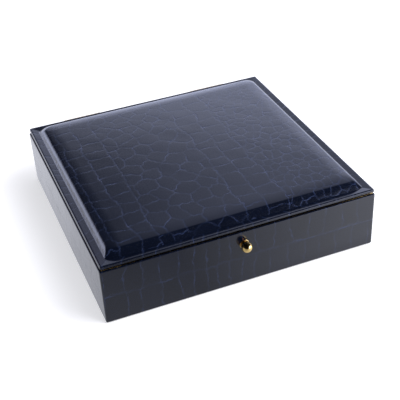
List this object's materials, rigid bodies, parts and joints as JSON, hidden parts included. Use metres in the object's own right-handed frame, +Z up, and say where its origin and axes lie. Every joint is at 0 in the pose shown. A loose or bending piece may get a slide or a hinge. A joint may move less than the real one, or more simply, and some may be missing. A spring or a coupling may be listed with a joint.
{
  "type": "medal case",
  "caption": "Flat square presentation case covered in embossed leatherette, with a hinged padded lid, a push-knob catch and a velvet display pad with recesses.",
  "frame": {"origin": "middle of the flat underside", "axes": "+Z up, front wall with the knob faces -Y, +X to the right seen from the front"},
  "size_m": [0.2, 0.2082, 0.053],
  "materials": {
    "leatherette": "glossy crocodile emboss, dark navy",
    "board": "raw fibreboard",
    "felt": "pressed felt",
    "gilt": "gilt foil on paper",
    "velvet": "short-pile velvet",
    "foam": "upholstery foam",
    "satin": "satin weave",
    "brass": "stamped, satin",
    "polished_brass": "polished and lacquered",
    "spring_steel": "drawn wire"
  },
  "bodies": {
    "base": {"front_wall": "board", "right_wall": "board", "back_wall": "board", "left_wall": "board", "bottom_board": "board", "wall_cover": "leatherette", "base_felt": "felt", "gilt_border": "gilt", "lining_front": "velvet", "lining_back": "velvet", "lining_left": "velvet", "lining_right": "velvet", "foam_block": "foam", "recess_velvet": "velvet", "display_pad": "velvet", "knob_bush": "brass", "catch_spring": "spring_steel", "catch_frame": "brass", "catch_frame_screws": "brass", "hinge_left_base_leaf": "brass", "hinge_right_base_leaf": "brass", "hinge_left_pin": "spring_steel", "hinge_right_pin": "spring_steel", "hinge_base_screws": "brass"},
    "lid": {"lid_board": "board", "lid_cover": "leatherette", "pad_foam": "foam", "pad_cover": "leatherette", "lid_inner_board": "board", "lid_satin": "satin", "catch_hook": "brass", "catch_hook_screws": "brass", "hinge_left_lid_leaf": "brass", "hinge_right_lid_leaf": "brass", "hinge_lid_screws": "brass"},
    "knob": {"knob": "polished_brass", "stem_sleeve": "brass", "catch_bolt": "brass"}
  },
  "joints": [
    {"name": "lid_hinge", "type": "hinge", "parent": "base", "child": "lid", "pos_m": [0, 0.0997, 0.044], "axis": [-1, 0, 0], "range_deg": [0, 100]},
    {"name": "knob_press", "type": "slide", "parent": "base", "child": "knob", "axis": [0, 1, 0], "range_m": [0, 0.0016], "stiffness_N_per_m": 300, "springref_m": -0.003, "deforming": ["catch_spring"]}
  ]
}
